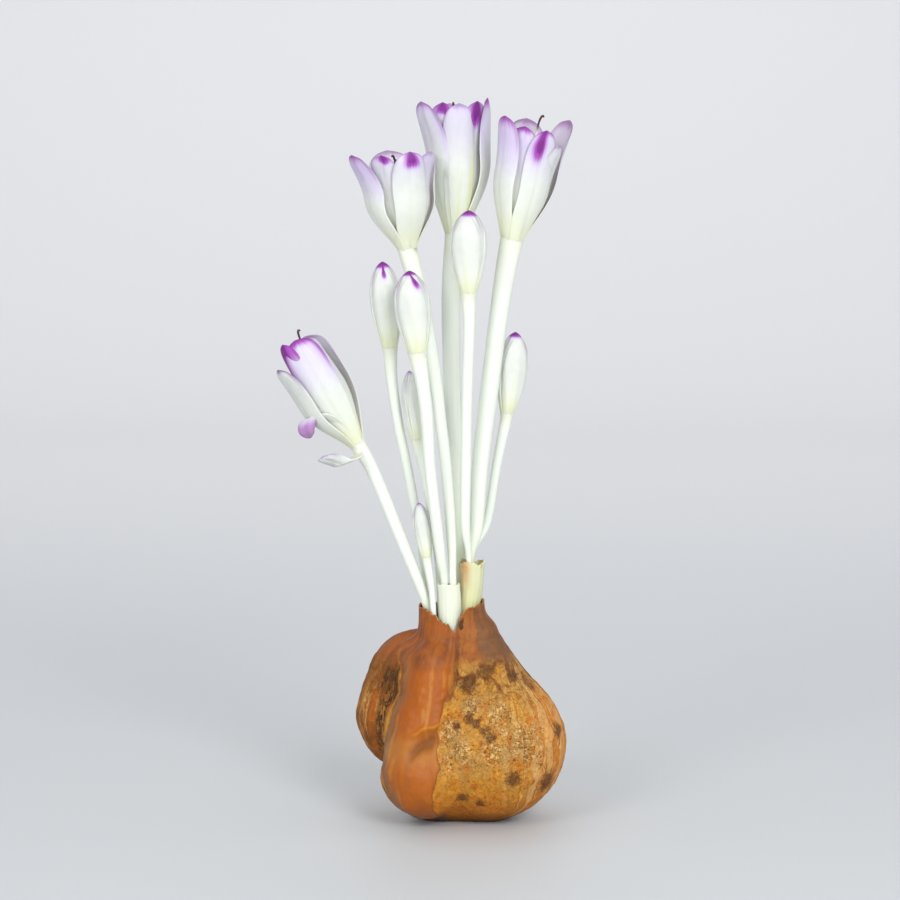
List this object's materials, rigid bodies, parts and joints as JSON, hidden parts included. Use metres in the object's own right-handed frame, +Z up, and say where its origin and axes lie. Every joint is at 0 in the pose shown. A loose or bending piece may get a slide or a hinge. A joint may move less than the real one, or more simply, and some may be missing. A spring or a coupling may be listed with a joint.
{
  "type": "colchicum with bulb",
  "caption": "Brown-skinned colchicum corm standing dry on its base, with pale long-tubed flowers and buds tipped purple.",
  "frame": {"origin": "middle of the flat spot that the corm rests on", "axes": "+Z up along the flowers, -Y towards the side that the picture shows, +X to that side's right"},
  "size_m": [0.0838, 0.0495, 0.2186],
  "materials": {
    "tunic": "dry papery brown skin, satin where smooth, dull and netted where worn",
    "sheath": "waxy pale skin",
    "tepals": "waxy white, tinted lilac above with deep purple tips",
    "stamens": "matte yellow"
  },
  "bodies": {
    "root": {"corm": "tunic", "sheath_front": "sheath", "sheath_right": "sheath", "flower_upper_left": "tepals", "flower_upper_middle": "tepals", "flower_upper_right": "tepals", "flower_leaning": "tepals", "stamens_upper_left": "stamens", "stamens_upper_middle": "stamens", "stamens_upper_right": "stamens", "stamens_leaning": "stamens", "bud_middle_high": "tepals", "bud_left_high": "tepals", "bud_centre": "tepals", "bud_right": "tepals", "bud_low": "tepals", "bud_hidden": "tepals"}
  },
  "joints": []
}
